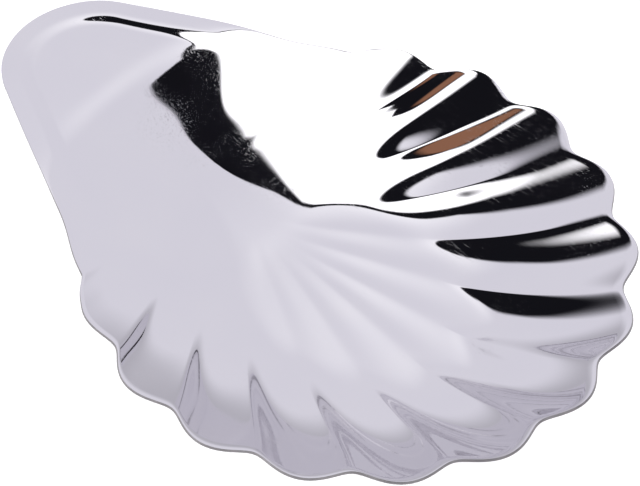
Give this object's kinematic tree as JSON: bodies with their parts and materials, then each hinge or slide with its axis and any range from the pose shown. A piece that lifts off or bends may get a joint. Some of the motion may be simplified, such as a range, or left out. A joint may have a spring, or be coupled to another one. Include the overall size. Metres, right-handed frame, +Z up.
{
  "type": "shell tray",
  "caption": "Polished steel serving tray in the shape of a scallop shell: a fluted bowl with a scalloped rim, a flat floor to stand on and a broad thumb tab to carry it by.",
  "frame": {"origin": "middle of the tray's length and width, at the underside of the flat floor it stands on", "axes": "+X from the thumb tab to the middle of the fan of lobes, +Y to the left when looking along +X, +Z up out of the bowl"},
  "size_m": [0.241, 0.1756, 0.0283],
  "materials": {
    "polished_steel": "mirror-polished stainless steel with fine hairline marks from the buffing wheel"
  },
  "bodies": {
    "root": {"shell_sheet": "polished_steel"}
  },
  "joints": []
}
